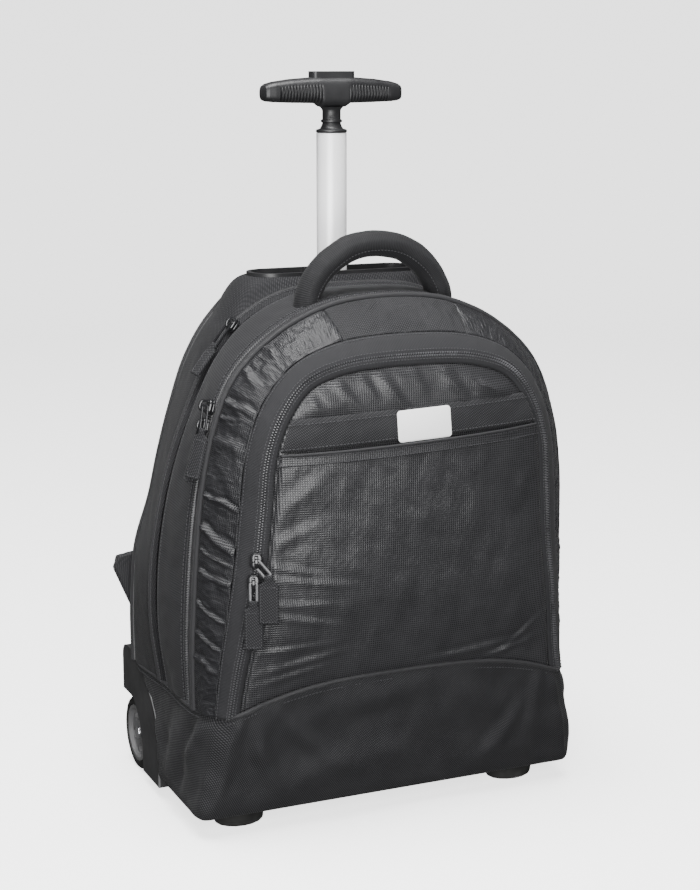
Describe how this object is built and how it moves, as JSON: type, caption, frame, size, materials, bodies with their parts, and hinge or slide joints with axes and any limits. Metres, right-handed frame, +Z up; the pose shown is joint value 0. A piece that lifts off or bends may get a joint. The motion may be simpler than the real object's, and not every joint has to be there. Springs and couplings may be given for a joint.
{
  "type": "wheeled backpack",
  "caption": "Arched black backpack on wheels with a zipped front pocket, carry handle, shoulder straps and a sliding T-handle rising from a tray.",
  "frame": {"origin": "middle of the whole part's box, on the ground under its wheels and feet", "axes": "+Z up, the pocket's front faces -Y, the wheels and shoulder straps are on the +Y side"},
  "size_m": [0.39, 0.2658, 0.6289],
  "materials": {
    "twill": "matte diagonal weave",
    "ripstop": "slightly shiny fine grid weave",
    "webbing": "matte ribbed tape",
    "zip_teeth": "coiled nylon",
    "plate": "fine matte",
    "plastic": "fine moulded grain",
    "tube": "satin anodised",
    "tyre": "matte",
    "foot_rubber": "matte",
    "pull_metal": "black gloss"
  },
  "bodies": {
    "bag": {"back_panel": "twill", "rear_gusset": "twill", "rear_zip_tape": "webbing", "rear_zip_coil": "zip_teeth", "rear_piping": "twill", "main_gusset": "twill", "main_zip_tape": "webbing", "main_zip_coil": "zip_teeth", "main_piping": "twill", "front_gusset": "ripstop", "pocket_zip_tape": "webbing", "pocket_zip_coil": "zip_teeth", "pocket_panel": "ripstop", "slip_pocket": "ripstop", "pocket_band": "twill", "label_plate": "plate", "base_boot": "twill", "handle_tray": "plastic", "handle_sleeve": "plastic", "carry_handle": "webbing", "wheel_housing_left": "plastic", "axle_left": "pull_metal", "foot_left": "foot_rubber", "shoulder_strap_left": "twill", "strap_wing_left": "webbing", "strap_webbing_left": "webbing", "wheel_housing_right": "plastic", "axle_right": "pull_metal", "foot_right": "foot_rubber", "shoulder_strap_right": "twill", "strap_wing_right": "webbing", "strap_webbing_right": "webbing", "rear_zip_pull": "pull_metal", "rear_zip_pull_tab": "webbing", "main_zip_pull_upper": "pull_metal", "main_zip_pull_upper_tab": "webbing", "main_zip_pull_lower": "pull_metal", "main_zip_pull_lower_tab": "webbing", "pocket_zip_pull_upper": "pull_metal", "pocket_zip_pull_upper_tab": "webbing", "pocket_zip_pull_lower": "pull_metal", "pocket_zip_pull_lower_tab": "webbing"},
    "handle": {"handle_tube": "tube", "handle_neck": "plastic", "t_grip": "plastic"},
    "button": {"release_button": "plastic"},
    "wheel_left": {"tyre_left": "tyre", "hub_left": "plastic"},
    "wheel_right": {"tyre_right": "tyre", "hub_right": "plastic"}
  },
  "joints": [
    {"name": "handle_slide", "type": "slide", "parent": "bag", "child": "handle", "axis": [0, 0, 1], "range_m": [-0.144, 0.21]},
    {"name": "button_press", "type": "slide", "parent": "handle", "child": "button", "axis": [0, 0, -1], "range_m": [0, 0.0035], "stiffness_N_per_m": 400},
    {"name": "wheel_spin_left", "type": "hinge", "parent": "bag", "child": "wheel_left", "pos_m": [-0.163, 0.09894, 0.034], "axis": [1, 0, 0], "continuous": true},
    {"name": "wheel_spin_right", "type": "hinge", "parent": "bag", "child": "wheel_right", "pos_m": [0.163, 0.09894, 0.034], "axis": [1, 0, 0], "continuous": true}
  ]
}
